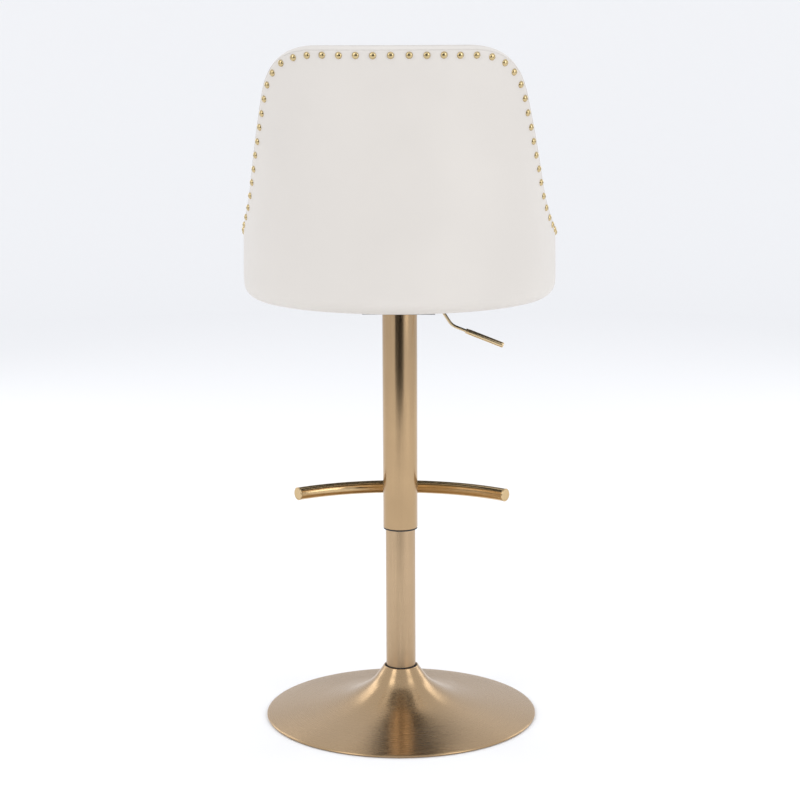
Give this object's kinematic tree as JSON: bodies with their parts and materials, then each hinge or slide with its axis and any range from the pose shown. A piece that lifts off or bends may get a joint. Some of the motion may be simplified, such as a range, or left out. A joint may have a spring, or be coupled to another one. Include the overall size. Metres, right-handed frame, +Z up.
{
  "type": "bar stool with footrest",
  "caption": "Adjustable swivel bar stool with an upholstered tub seat, nail-trimmed wrap-around back, curved footrest, gas-lift column and trumpet base.",
  "frame": {"origin": "on the floor, under the axis of the column", "axes": "+Z up along the column, -Y the way the seat faces, -X the sitter's right, where the lever is"},
  "size_m": [0.5138, 0.5351, 1.134],
  "materials": {
    "gold_metal": "satin",
    "pale_gold_metal": "satin",
    "footrest_gold": "gloss",
    "steel": "satin",
    "cement": "matte",
    "rubber": "matte",
    "plastic": "satin",
    "leather": "satin",
    "padding": "satin",
    "wood": "matte",
    "dust_cloth": "matte"
  },
  "bodies": {
    "base": {"base_shell": "gold_metal", "base_weight": "cement", "base_floor_ring": "rubber", "column_collar": "rubber", "column_washer": "steel", "column_lock_nut": "steel", "lower_column": "pale_gold_metal", "guide_bushing": "plastic", "bearing_lower_race": "steel", "bearing_ball_cage": "steel"},
    "rod": {"piston_rod": "steel", "bearing_upper_race": "steel", "bottom_damper": "rubber", "rod_retaining_clip": "steel"},
    "carriage": {"gas_cylinder": "steel", "rod_gland": "plastic", "column_sleeve": "gold_metal", "sleeve_glide": "plastic", "seat_plate": "steel", "plate_hub": "steel", "lever_bracket": "steel", "lever_pin": "steel", "seat_screw_1": "steel", "seat_screw_2": "steel", "seat_screw_3": "steel", "seat_screw_4": "steel", "tee_nut_1": "steel", "tee_nut_2": "steel", "tee_nut_3": "steel", "tee_nut_4": "steel", "footrest_bar": "footrest_gold", "footrest_stub": "footrest_gold", "footrest_cap_right": "footrest_gold", "footrest_cap_left": "footrest_gold", "dust_cover": "dust_cloth", "seat_board": "wood", "seat_ring": "wood", "back_shell": "wood", "outer_cover": "leather", "back_pad": "padding", "front_apron": "leather", "seat_cushion": "padding"},
    "lever": {"lever_rod": "footrest_gold", "lever_grip": "footrest_gold"},
    "button": {"release_button": "steel"}
  },
  "joints": [
    {"name": "swivel", "type": "hinge", "parent": "base", "child": "rod", "pos_m": [0, 0, 0.03], "axis": [0, 0, 1], "continuous": true},
    {"name": "height", "type": "slide", "parent": "rod", "child": "carriage", "axis": [0, 0, 1], "range_m": [-0.21, 0]},
    {"name": "lever_lift", "type": "hinge", "parent": "carriage", "child": "lever", "pos_m": [-0.024, 0, 0.71], "axis": [0, 1, 0], "range_deg": [0, 7], "stiffness_Nm_per_rad": 6, "springref_deg": -5.73},
    {"name": "button_press", "type": "slide", "parent": "carriage", "child": "button", "axis": [0, 0, -1], "range_m": [0, 0.0035]}
  ],
  "couplings": [
    {"joint": "button_press", "follows": "lever_lift", "m_per_rad": 0.0285}
  ]
}
